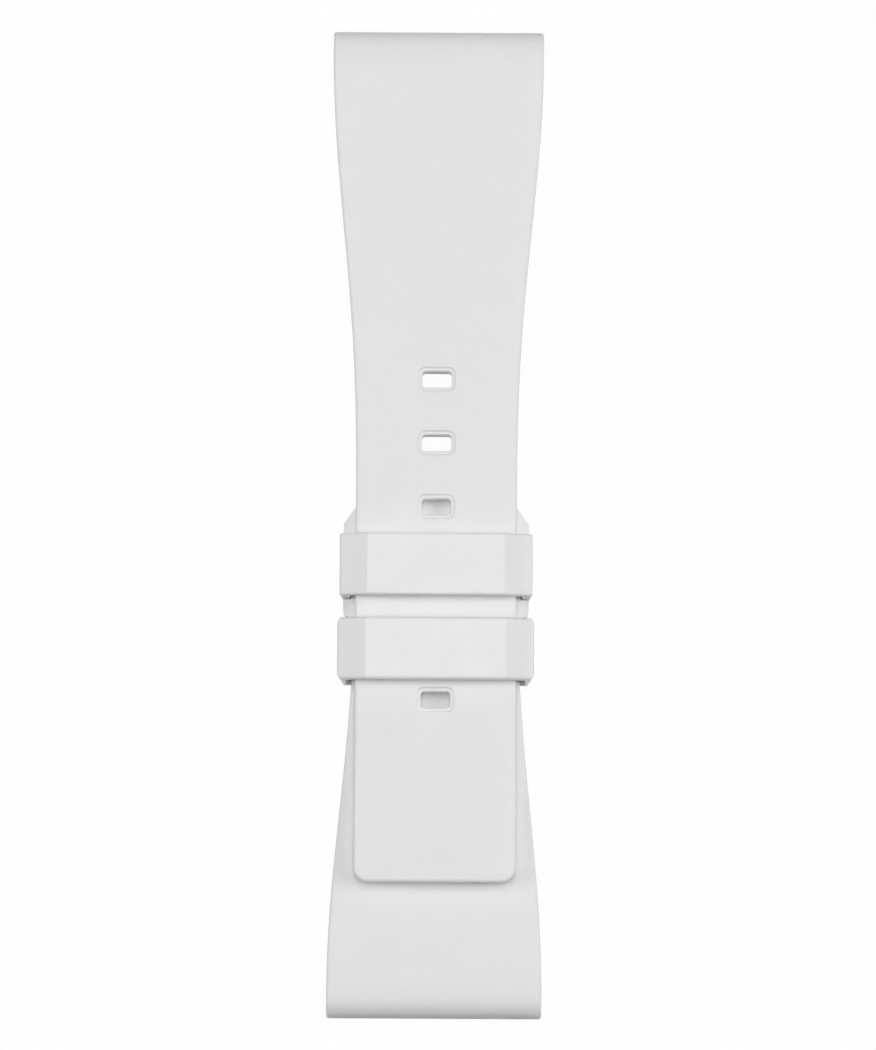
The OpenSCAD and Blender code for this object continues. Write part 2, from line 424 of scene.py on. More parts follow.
@dataclass(frozen=True)
class Rubber:
    """Moulded white rubber: a matt skin with a fine spark-eroded grain.

    Light goes a little way into it: share is how much does, and depth_mm how deep.
    """

    name: str
    tone: float = 0.92
    mottle: float = 0.006
    mottle_mm: float = 7.0
    warmth: float = 0.998
    rough_low: float = 0.44
    rough_high: float = 0.54
    rough_mm: float = 1.1
    grain_mm: float = 0.09
    grain_um: float = 9.0
    grain_strength: float = 0.5
    swell_mm: float = 2.6
    swell_um: float = 14.0
    swell_strength: float = 0.35
    depth_mm: float = 1.5
    share: float = 0.5

    def make(self) -> bpy.types.Material:
        """Makes the material: slow mottling, uneven gloss, fine grain on a faint swell.

        Returns:
            The material.
        """
        recipe = Recipe(self.name)
        recipe.set(Subsurface_Weight=self.share, Subsurface_Radius=(1.0, 1.0, 1.0),
                   Subsurface_Scale=self.depth_mm * MM)
        low, high = self.tone - self.mottle, self.tone + self.mottle
        recipe.tint(recipe.noise(self.mottle_mm, 3.0), (low, low, low * self.warmth),
                    (high, high, high))
        recipe.gloss(recipe.noise(self.rough_mm, 4.0), self.rough_low, self.rough_high)
        recipe.relief((recipe.noise(self.swell_mm, 1.0), self.swell_um, self.swell_strength),
                      (recipe.noise(self.grain_mm, 2.0), self.grain_um, self.grain_strength))
        return recipe.material


@dataclass(frozen=True)
class Coating:
    """White enamel on the buckle: smoother to the touch, with a faint orange peel."""

    name: str
    tone: float = 0.92
    mottle: float = 0.005
    mottle_mm: float = 4.0
    rough_low: float = 0.5
    rough_high: float = 0.58
    rough_mm: float = 0.8
    peel_mm: float = 0.55
    peel_um: float = 9.0
    peel_strength: float = 0.4

    def make(self) -> bpy.types.Material:
        """Makes the material: an even satin white.

        Returns:
            The material.
        """
        recipe = Recipe(self.name)
        low, high = self.tone - self.mottle, self.tone + self.mottle
        recipe.tint(recipe.noise(self.mottle_mm), (low, low, low), (high, high, high))
        recipe.gloss(recipe.noise(self.rough_mm, 3.0), self.rough_low, self.rough_high)
        recipe.relief((recipe.noise(self.peel_mm, 2.0), self.peel_um, self.peel_strength))
        return recipe.material


@dataclass(frozen=True)
class Steel:
    """Drawn or turned stainless steel, with tool rings round its X axis.

    The rings are a noise that is stretched across X by one over ring_stretch.
    """

    name: str
    tone: float = 0.6
    wear: float = 0.06
    wear_mm: float = 0.7
    tinge: float = 0.01
    rough_low: float = 0.22
    rough_high: float = 0.36
    ring_mm: float = 0.05
    ring_um: float = 2.0
    ring_strength: float = 0.6
    ring_stretch: float = 0.02

    def make(self) -> bpy.types.Material:
        """Makes the material: bright metal with fine tool rings and a little wear.

        Returns:
            The material.
        """
        recipe = Recipe(self.name)
        recipe.set(Metallic=1.0)
        across = self.ring_stretch
        rings = recipe.noise(self.ring_mm, 1.0, recipe.stretched((1.0, across, across)))
        wear = recipe.noise(self.wear_mm, 4.0)
        warm, cool = self.tone * (1 - self.wear), self.tone * (1 + self.wear)
        recipe.tint(wear, (warm, warm, warm * (1 - self.tinge)),
                    (cool, cool, cool * (1 + self.tinge)))
        recipe.gloss(wear, self.rough_low, self.rough_high)
        recipe.relief((rings, self.ring_um, self.ring_strength))
        return recipe.material


# ---------------------------------------------------------------- strap halves


@dataclass
class Ribs:
    """Lines across a strap, one entry for each, from which its skin is spread.

    Attributes:
        y: place along the strap.
        z: height.
        reach: half the length of the flat part.
        out: plan normal (x, y) at the right end.
        face: surface normal (y, z).
        edge: radius of the rounded edge.
    """

    y: np.ndarray
    z: np.ndarray
    reach: np.ndarray
    out: np.ndarray
    face: np.ndarray
    edge: np.ndarray

    def arrays(self) -> tuple[np.ndarray, ...]:
        """The six arrays, in the order in which they are named."""
        return self.y, self.z, self.reach, self.out, self.face, self.edge

    def joined(self, other: "Ribs") -> "Ribs":
        """These ribs followed by others."""
        return Ribs(*map(np.concatenate, zip(self.arrays(), other.arrays())))

    def last(self, count: int) -> "Ribs":
        """The last rib, a number of times over."""
        return Ribs(*(np.repeat(array[-1:], count, axis=0) for array in self.arrays()))

    def squared(self, y: float, half: float) -> "Ribs":
        """Sets the last rib straight across the strap.

        Args:
            y: where it lies along the strap.
            half: half the strap's width there.

        Returns:
            The same ribs.
        """
        self.y[-1], self.out[-1] = y, (1.0, 0.0)
        self.reach[-1] = half - self.edge[-1]
        return self

    def rounded(self, x: np.ndarray, turn: np.ndarray) -> np.ndarray:
        """Points on the rounded right edge.

        A point starts at x on the flat part, moves out by edge radius times sin(turn), and
        sinks against the surface normal by edge radius times (1 - cos(turn)).

        Args:
            x: where the edge starts, shape (ribs, 1).
            turn: how far each point has turned, in radians.

        Returns:
            Points of shape (ribs, turns, 3).
        """
        away = self.edge[:, None] * np.sin(turn)[None, :]
        down = self.edge[:, None] * (1 - np.cos(turn))[None, :]
        return stack(x + self.out[:, :1] * away,
                     self.y[:, None] + self.out[:, 1:] * away - self.face[:, :1] * down,
                     self.z[:, None] - self.face[:, 1:] * down)


@dataclass
class Hole:
    """A strap hole: an opening in a shallow recess, both with rounded corners.

    Its surface is a nest of contours. The rings fields say how far out from the opening the
    contours lie on the outer face, on the recess's floor and on the underside.
    """

    half: tuple[float, float] = (1.64, 0.93)
    corner_r: float = 0.35
    recess: float = 0.42                # from the opening to the middle of the recess's slope
    depth: float = 0.22
    lip: float = 0.08                   # half the slope's width
    lip_steps: int = 6
    edge_r: float = 0.1
    edge_steps: int = 4
    wall_up: float = 0.6                # where the wall's lowest part starts
    face_rings: tuple[float, ...] = (0.75, 0.56)
    floor_rings: tuple[float, ...] = (0.3, 0.22, 0.13)
    under_rings: tuple[float, ...] = (0.16, 0.5)
    window: float = 2.1                 # half the length of strap that a hole's grid takes up
    rows: int = 28

    def outlines(self) -> tuple[np.ndarray, np.ndarray, np.ndarray]:
        """The contours from the outer face down to the underside.

        The recess's slope is a smooth step, and both edges of the opening are quarter rounds.

        Returns:
            For each contour its distance from the opening, its depth below the outer face,
            and its height above the underside. Depth counts where height is not a number.
        """
        quarter = degrees(0, 90, self.edge_steps)
        closing = self.edge_r * (1 - np.sin(quarter))
        opening = self.edge_r * (1 - np.cos(quarter))
        step = np.linspace(0, 1, self.lip_steps + 1)
        out = np.concatenate([self.face_rings, self.recess + self.lip * (1 - 2 * step),
                              self.floor_rings, closing])
        depth = np.concatenate([np.zeros(len(self.face_rings)), self.depth * smooth(step),
                                np.full(len(self.floor_rings), self.depth),
                                self.depth + opening])
        low_out = np.concatenate([[0.0], opening, self.under_rings])
        low_up = np.concatenate([[self.wall_up], closing, np.zeros(len(self.under_rings))])
        return (np.concatenate([out, low_out]),
                np.concatenate([depth, np.full(len(low_up), np.nan)]),
                np.concatenate([np.full(len(depth), np.nan), low_up]))


@dataclass
class StrapHalf:
    """What both halves share: a tapering strip with a round lug end and rounded edges.

    Attributes:
        narrow: half the width past the taper.
        taper_start: where the taper starts, from the lug end's tip.
        taper_in: inner power of the taper's bell.
        taper_out: outer power of the taper's bell.
        seam: how far the moulding seam stands out.
        lug_cut: how far the bored side face reaches from the lug end's axis.
        middle_half: half the width of the evenly divided middle.
        fractions: lines between the middle and the edge, as shares of the way.
        wall_steps: lines on the side wall, as shares of its height.
    """

    node: str = ""
    lug_tube: str = ""
    body: Body = Body.SHORT
    narrow: float = 9.05
    taper_start: float = 2.9
    taper_len: float = 58.0
    taper_in: float = 1.93
    taper_out: float = 4.2
    edge_r: float = 0.3
    bore_edge: float = 0.12
    seam: float = 0.02
    seam_ramp: float = 0.2
    seam_half: float = 0.06
    lug_stations: int = 8
    lug_cut: float = 2.4
    station_gap: float = 0.8
    round_steps: int = 16
    bore_steps: int = 4
    middle_half: float = 2.7
    middle_steps: int = 36
    edge_turn: ClassVar[np.ndarray] = degrees(0, 90, 5)[1:]
    fractions: ClassVar[np.ndarray] = np.array([0.06, 0.15, 0.27, 0.4, 0.53, 0.66, 0.78, 0.88,
                                                0.95, 0.99, 1.0])
    wall_steps: ClassVar[np.ndarray] = np.array([0.0, 0.05, 0.2, 0.36, 0.43, 0.465, 0.5, 0.535,
                                                 0.57, 0.64, 0.8, 0.95, 1.0])
    side_rows: ClassVar[np.ndarray] = np.array([0.0, 0.5, 0.92])

    def __post_init__(self) -> None:
        """Reads the lug end's axis, radius, width and direction from the frame."""
        self.box, tube = Box.of(self.node), Box.of(self.lug_tube)
        self.axis_y, self.axis_z = tube.axis
        self.bore_r = tube.half[2]
        self.sign = math.copysign(1.0, self.axis_y)
        self.end_r = max(self.box.high[1], -self.box.low[1]) - abs(self.axis_y)
        self.lug_half = self.box.high[0]

    def y_at(self, s: np.ndarray) -> np.ndarray:
        """Place along the strap at a distance from the lug end's axis."""
        return self.sign * (abs(self.axis_y) - s)

    def half_width(self, s: np.ndarray) -> np.ndarray:
        """Half the strap's width.

        It is the narrow half plus what the lug adds, times a long bell, which is
        (1 - t^inner power)^outer power for t the share of the taper that is past.

        Args:
            s: distances from the lug end's axis.

        Returns:
            The half widths.
        """
        t = np.clip((s + self.end_r - self.taper_start) / self.taper_len, 0, 1)
        bell = (1 - t**self.taper_in) ** self.taper_out
        return self.narrow + (self.lug_half - self.narrow) * bell

    def edge_at(self, s: np.ndarray) -> np.ndarray:
        """Radius of the rounded edge."""
        return np.full(len(s), self.edge_r)

    def outer(self, s: np.ndarray) -> np.ndarray:
        """Height of the outer face."""
        raise NotImplementedError

    def under(self, s: np.ndarray) -> np.ndarray:
        """Height of the underside."""
        raise NotImplementedError

    def lines(self, reach: np.ndarray) -> np.ndarray:
        """x of each line along the strap.

        The lines are evenly spaced in the middle, and then lie at set fractions of the way
        from there to the flat part's end.

        Args:
            reach: half the flat part's length on each rib.

        Returns:
            The places, shape (ribs, lines).
        """
        right = self.middle_half + (reach[:, None] - self.middle_half) * self.fractions[None, :]
        middle = np.linspace(-self.middle_half, self.middle_half, self.middle_steps + 1)
        middle = np.broadcast_to(middle, (len(reach), len(middle)))
        return np.hstack([-right[:, ::-1], middle, right])

    def side_ribs(self, s: np.ndarray, up: float) -> Ribs:
        """Ribs of the outer face or of the underside.

        The plan normal is (1, slope) over its length, where slope is how fast the half width
        grows with the distance from the lug.

        Args:
            s: the ribs' distances from the lug end's axis.
            up: 1 for the outer face, -1 for the underside.

        Returns:
            The ribs.
        """
        step = 0.01
        slope = (self.half_width(s + step) - self.half_width(s - step)) / (2 * step)
        out = stack(np.ones_like(s), self.sign * slope)
        out /= np.linalg.norm(out, axis=1, keepdims=True)
        edge = self.edge_at(s)
        height = self.outer(s) if up > 0 else self.under(s)
        face = stack(np.zeros_like(s), np.full_like(s, up))
        return Ribs(self.y_at(s) - edge * out[:, 1], height,
                    self.half_width(s) - edge * out[:, 0], out, face, edge)

    def round_ribs(self, axis: tuple[float, float], radius: float, half: float,
                   way: float, edge: float) -> Ribs:
        """Ribs round an end, from its top to its underside.

        Args:
            axis: y and z of the round end's centre.
            radius: the round end's radius.
            half: half the strap's width there.
            way: 1 if the end faces +Y, -1 if it faces -Y.
            edge: radius of the rounded edge.

        Returns:
            The ribs, whose normals point straight out from the axis.
        """
        a = degrees(90, -90, self.round_steps)
        face = stack(way * np.cos(a), np.sin(a))
        ones = np.ones_like(a)
        return Ribs(axis[0] + radius * face[:, 0], axis[1] + radius * face[:, 1],
                    (half - edge) * ones, stack(ones, 0 * a), face, edge * ones)

    def skin(self, ribs: Ribs) -> np.ndarray:
        """Spreads a skin over ribs.

        Args:
            ribs: the ribs.

        Returns:
            Each rib's points from the left edge to the right one, shape (ribs, points, 3).
        """
        flat = stack(self.lines(ribs.reach), ribs.y[:, None], ribs.z[:, None])
        right = ribs.rounded(ribs.reach[:, None], self.edge_turn)
        return np.concatenate([right[:, ::-1] * MIRROR, flat, right], axis=1)

    def wall(self, top: np.ndarray, low: np.ndarray, out: np.ndarray) -> np.ndarray:
        """The side between two rounded edges, with a faint moulding seam half way.

        A point is top plus a share of (low - top), less the seam's height along the plan
        normal, except near both ends and within a few hundredths of the middle.

        Args:
            top: points along the upper edge, shape (count, 3).
            low: points along the lower edge, shape (count, 3).
            out: plan normals, shape (count, 2).

        Returns:
            Points of shape (count, steps, 3).
        """
        share = self.wall_steps[None, :, None]
        ramp = smooth(np.minimum(share, 1 - share) / self.seam_ramp)
        inset = self.seam * ramp * (1 - smooth(1 - np.abs(share - 0.5) / self.seam_half))
        flat = top[:, None] + (low - top)[:, None] * share
        return flat - inset * stack(out[:, 0], out[:, 1], 0 * out[:, 0])[:, None]

    def bored_end(self, shell: Shell, rim: np.ndarray, axis: tuple[float, float],
                  bore_r: float, edge: float) -> None:
        """Closes both sides of a round end and bores it through.

        Each column runs from a point of the rim straight to the bore's edge, over the edge's
        quarter round, along the bore, and out again on the other side.

        Args:
            shell: the surface to add to.
            rim: closed line of points on the right side, shape (count, 3).
            axis: y and z of the bore's axis.
            bore_r: the bore's radius.
            edge: radius of the bore's rounded edge.
        """
        angle = np.arctan2(rim[:, 2] - axis[1], rim[:, 1] - axis[0])
        turn = degrees(0, 90, self.bore_steps)
        radius = bore_r + edge * (1 - np.sin(turn))
        depth = edge * (1 - np.cos(turn))
        circle = stack(rim[:, 0].min() - depth[:, None],
                       axis[0] + radius[:, None] * np.cos(angle),
                       axis[1] + radius[:, None] * np.sin(angle))
        face = rim[None] + (circle[0] - rim)[None] * self.side_rows[:, None, None]
        right = np.concatenate([face, circle])
        shell.add(np.concatenate([right, right[::-1] * MIRROR]), ring_columns=True)

    def lug_end(self, shell: Shell, top: np.ndarray, low: np.ndarray,
                walls: np.ndarray) -> None:
        """Builds the round lug end: its skin and both bored sides.

        Args:
            shell: the surface to add to.
            top: the outer face's skin, which starts at the lug end's axis.
            low: the underside's skin.
            walls: the right side's wall, which starts where the bored side face ends.
        """
        axis = (self.axis_y, self.axis_z)
        skin = self.skin(self.round_ribs(axis, self.end_r, self.lug_half, self.sign,
                                         self.edge_r))
        shell.add(skin)
        cut = self.lug_stations
        rim = np.concatenate([skin[:, -1], low[1:cut, -1], walls[0, ::-1],
                              top[cut - 1:0:-1, -1]])
        self.bored_end(shell, rim, axis, self.bore_r, self.bore_edge)


@dataclass
class LongHalf(StrapHalf):
    """The half with the holes, which lies over the buckle and ends in the tail.

    Attributes:
        thickness: the strap's, past the lug end.
        ride: height of the underside over the buckle.
        level_y: where the underside has come up to that height.
        lift: how much higher the underside gets along the tail.
        corner_r: radius of the tail's corners, seen from above.
        holes_before_stud: how many holes lie between the stud's and the row's lug end.
    """

    node: str = "long_strap"
    lug_tube: str = "long_end_tube"
    body: Body = Body.BUCKLE
    thickness: float = 2.0
    ride: float = 3.75
    level_y: float = 6.0
    lift: float = 0.55
    lift_y: float = -24.0
    lift_len: float = 18.0
    corner_r: float = 1.6
    corner_steps: int = 10
    holes: int = 6
    holes_before_stud: int = 3
    pitch: float = 7.28
    stud: str = "buckle_stud"
    hole: Hole = field(default_factory=Hole)
    hole_gap: float = 0.9
    hole_gap_rows: int = 4

    def __post_init__(self) -> None:
        """Adds the tail, and the holes counted from the stud."""
        super().__post_init__()
        self.fall_len = self.axis_y - self.level_y
        self.lift_start = self.axis_y - self.lift_y
        self.tail_s = self.axis_y - self.box.low[1]
        first = Box.of(self.stud).middle[1] + self.holes_before_stud * self.pitch
        self.hole_y = first - self.pitch * np.arange(self.holes)

    def under(self, s: np.ndarray) -> np.ndarray:
        """Smooth step up onto the buckle, then a small lift along the tail."""
        return (self.ride * smooth(s / self.fall_len)
                + self.lift * smooth((s - self.lift_start) / self.lift_len))

    def outer(self, s: np.ndarray) -> np.ndarray:
        """The underside plus a thickness that falls from the lug's to the strap's."""
        extra = (2 * self.end_r - self.thickness) * (1 - smooth(s / self.fall_len))
        return self.under(s) + self.thickness + extra

    def stations(self) -> np.ndarray:
        """Places the ribs close together at the lug and the holes, and wider apart between.

        Returns:
            Distances from the lug end's axis.
        """
        reach = self.hole.window
        parts = [np.linspace(0, self.lug_cut, self.lug_stations + 1)]
        last = self.lug_cut
        for middle in self.axis_y - self.hole_y:
            start, stop = middle - reach, middle + reach
            gaps = max(self.hole_gap_rows, round((start - last) / self.hole_gap))
            parts.append(np.linspace(last, start, gaps + 1)[1:])
            parts.append(np.linspace(start, stop, self.hole.rows + 1)[1:])
            last = stop
        end = self.tail_s - self.corner_r
        parts.append(np.linspace(last, end, round((end - last) / self.station_gap) + 1)[1:])
        return np.concatenate(parts)

    def corner_ribs(self, up: float) -> Ribs:
        """Ribs through the tail's two rounded corners.

        Each lies at the corner's centre plus (corner radius - edge radius) times its plan
        normal, which turns from straight across to straight back.

        Args:
            up: 1 for the outer face, -1 for the underside.

        Returns:
            The ribs.
        """
        a = degrees(0, 90, self.corner_steps)[1:]
        inner = self.corner_r - self.edge_r
        s = self.tail_s - self.corner_r + inner * np.sin(a)
        ones = np.ones_like(a)
        height = self.outer(s) if up > 0 else self.under(s)
        return Ribs(self.y_at(s), height, self.narrow - self.corner_r + inner * np.cos(a),
                    stack(np.cos(a), -np.sin(a)), stack(0 * a, up * ones), self.edge_r * ones)

    def hole_ring(self, rim_top: np.ndarray, rim_low: np.ndarray, hole_y: float) -> np.ndarray:
        """The surface of one hole, from the outer face through to the underside.

        Args:
            rim_top: closed line of grid points round the hole on the outer face.
            rim_low: the same on the underside.
            hole_y: the hole's middle.

        Returns:
            Points of shape (contours, count, 3).
        """
        aim = rim_top[:, :2] - np.array([0.0, hole_y])
        aim /= np.linalg.norm(aim, axis=1, keepdims=True)
        out, depth, height = self.hole.outlines()
        width, length = self.hole.half
        plan = np.stack([ray_to_rounded_box(aim, (width + e, length + e), self.hole.corner_r + e)
                         for e in out])
        s = self.axis_y - (plan[..., 1] + hole_y)
        z = np.where(np.isnan(depth)[:, None], self.under(s) + height[:, None],
                     self.outer(s) - depth[:, None])
        rings = stack(plan[..., 0], plan[..., 1] + hole_y, z)
        return np.concatenate([rim_top[None], rings, rim_low[None]])

    def build(self, finish: bpy.types.Material) -> bpy.types.Object:
        """Builds the half: both faces, lug end, sides, tail and holes.

        Args:
            finish: its material.

        Returns:
            The finished piece.
        """
        shell = Shell()
        s = self.stations()
        top, low = (self.side_ribs(s, up).joined(self.corner_ribs(up)) for up in (1.0, -1.0))
        top_skin, low_skin = self.skin(top), self.skin(low)
        first_line = len(self.edge_turn) + len(self.fractions)
        last_line = first_line + self.middle_steps
        keep = np.ones((len(top.y) - 1, top_skin.shape[1] - 1), bool)
        for hole_y in self.hole_y:
            start = int(np.argmin(np.abs(s - (self.axis_y - hole_y - self.hole.window))))
            stop = start + self.hole.rows
            keep[start:stop, first_line:last_line] = False
            rims = [self.window_rim(skin, start, stop, first_line, last_line)
                    for skin in (top_skin, low_skin)]
            shell.add(self.hole_ring(rims[0], rims[1], hole_y), ring_columns=True)
        shell.add(top_skin, keep)
        shell.add(low_skin, keep)
        cut = self.lug_stations
        walls = self.wall(top_skin[cut:, -1], low_skin[cut:, -1], top.out[cut:])
        shell.add_mirrored(walls)
        self.lug_end(shell, top_skin, low_skin, walls)
        self.tail(shell, top, low)
        return fit(shell.piece("long_half_skin"), finish, self.body, Slot.RUBBER, self.node)

    def tail(self, shell: Shell, top: Ribs, low: Ribs) -> None:
        """Closes the tail: its last rib carried over the edge, down, and under.

        Args:
            shell: the surface to add to.
            top: the outer face's ribs.
            low: the underside's ribs.
        """
        x = self.lines(top.reach[-1:])[0][:, None]
        turn = np.concatenate([[0.0], self.edge_turn])
        ends = [ribs.last(len(x)).rounded(x, turn) for ribs in (top, low)]
        for end in ends:
            shell.add(end)
        out = np.broadcast_to(np.array([0.0, -1.0]), (len(x), 2))
        shell.add(self.wall(ends[0][:, -1], ends[1][:, -1], out))

    @staticmethod
    def window_rim(skin: np.ndarray, start: int, stop: int, first: int,
                   last: int) -> np.ndarray:
        """The closed line of grid points round one hole's window.

        Args:
            skin: the face's grid.
            start: the window's first row.
            stop: its last row.
            first: its first column.
            last: its last column.

        Returns:
            Points of shape (count, 3).
        """
        return np.concatenate([skin[start, first:last], skin[start:stop, last],
                               skin[stop, last:first:-1], skin[stop:start:-1, first]])


@dataclass
class ShortHalf(StrapHalf):
    """The half without holes, which turns on the buckle's spring bar.

    Attributes:
        level_top: height of the outer face at the hinge.
        rise: how much higher the outer face gets under the tail.
        lug_fall: how much lower it is again at the lug end.
        level_under: height of the underside at the hinge.
        under_start: how far from the lug end's axis the underside leaves the ground.
        knuckle_r: radius of the round end that turns on the bar.
        swell_len: over what length the strip grows into the knuckle.
        neck: how far the strip steps in beside the buckle's ears.
        hinge_cut: how far the knuckle's bored side face reaches from the bar's axis.
    """

    node: str = "short_strap"
    lug_tube: str = "short_end_tube"
    body: Body = Body.SHORT
    hinge_tube: str = "buckle_end_tube"
    level_top: float = 3.55
    rise: float = 0.6
    rise_y: float = -24.0
    rise_len: float = 18.0
    lug_fall: float = 0.15
    lug_fall_len: float = 12.0
    level_under: float = 1.2
    under_start: float = 2.0
    under_y: float = -26.0
    knuckle_r: float = 1.3
    knuckle_edge: float = 0.14
    knuckle_bore_edge: float = 0.05
    swell_len: float = 1.6
    edge_fall_start: float = 5.0
    edge_fall_len: float = 3.0
    neck: float = 0.3
    neck_start: float = 1.9
    neck_len: float = 0.5
    hinge_stations: int = 6
    hinge_cut: float = 1.5
    middle_steps: int = 6

    def __post_init__(self) -> None:
        """Adds the hinge axis and its tube's bore."""
        super().__post_init__()
        tube = Box.of(self.hinge_tube)
        self.hinge, self.hinge_bore = tube.axis, tube.half[2]
        self.hinge_s = abs(self.axis_y) - abs(self.hinge[0])

    def half_width(self, s: np.ndarray) -> np.ndarray:
        """The taper, less a small step in beside the buckle's ears."""
        step = smooth((s - self.hinge_s + self.neck_start) / self.neck_len)
        return super().half_width(s) - self.neck * step

    def edge_at(self, s: np.ndarray) -> np.ndarray:
        """The rounded edge, falling to the knuckle's smaller one."""
        fall = smooth((s - self.hinge_s + self.edge_fall_start) / self.edge_fall_len)
        return self.edge_r + (self.knuckle_edge - self.edge_r) * fall

    def swell(self, s: np.ndarray) -> np.ndarray:
        """Smooth step from 0 to 1 where the strip grows into the knuckle."""
        return smooth((s - self.hinge_s + self.swell_len) / self.swell_len)

    def outer(self, s: np.ndarray) -> np.ndarray:
        """Level at the hinge, a smooth rise under the tail, and a slight fall at the lug.

        Args:
            s: distances from the lug end's axis.

        Returns:
            The heights.
        """
        rise_s = self.rise_y - self.axis_y
        height = (self.level_top + self.rise * smooth((rise_s - s) / self.rise_len)
                  - self.lug_fall * (1 - smooth(s / self.lug_fall_len)))
        return height + (self.hinge[1] + self.knuckle_r - height) * self.swell(s)

    def under(self, s: np.ndarray) -> np.ndarray:
        """On the ground at the lug, then a smooth step up to the hinge.

        Args:
            s: distances from the lug end's axis.

        Returns:
            The heights.
        """
        under_len = self.under_y - self.axis_y - self.under_start
        height = self.level_under * smooth((s - self.under_start) / under_len)
        return height + (self.hinge[1] - self.knuckle_r - height) * self.swell(s)

    def stations(self) -> np.ndarray:
        """Places the ribs close together at the lug and the hinge, and wider apart between.

        Returns:
            Distances from the lug end's axis.
        """
        end = self.hinge_s - self.hinge_cut
        count = round((end - self.lug_cut) / self.station_gap)
        return np.concatenate([np.linspace(0, self.lug_cut, self.lug_stations + 1),
                               np.linspace(self.lug_cut, end, count + 1)[1:],
                               np.linspace(end, self.hinge_s, self.hinge_stations + 1)[1:]])

    def build(self, finish: bpy.types.Material) -> bpy.types.Object:
        """Builds the half: both faces, both round ends, sides and the two bores.

        Args:
            finish: its material.

        Returns:
            The finished piece.
        """
        shell = Shell()
        s = self.stations()
        knuckle_half = self.half_width(s[-1:])[0]
        top, low = (self.side_ribs(s, up).squared(self.hinge[0], knuckle_half)
                    for up in (1.0, -1.0))
        knuckle = self.round_ribs(self.hinge, self.knuckle_r, knuckle_half, -self.sign,
                                  self.knuckle_edge)
        skins = [self.skin(ribs) for ribs in (top, low, knuckle)]
        top_skin, low_skin, knuckle_skin = skins
        for skin in skins:
            shell.add(skin)
        side = slice(self.lug_stations, len(s) - self.hinge_stations)
        walls = self.wall(top_skin[side, -1], low_skin[side, -1], top.out[side])
        shell.add_mirrored(walls)
        self.lug_end(shell, top_skin, low_skin, walls)
        rim = np.concatenate([knuckle_skin[:, -1], low_skin[-2:side.stop - 1:-1, -1],
                              walls[-1, ::-1], top_skin[side.stop:-1, -1]])
        self.bored_end(shell, rim, self.hinge, self.hinge_bore, self.knuckle_bore_edge)
        return fit(shell.piece("short_half_skin"), finish, self.body, Slot.RUBBER, self.node)


# ---------------------------------------------------------------- keepers


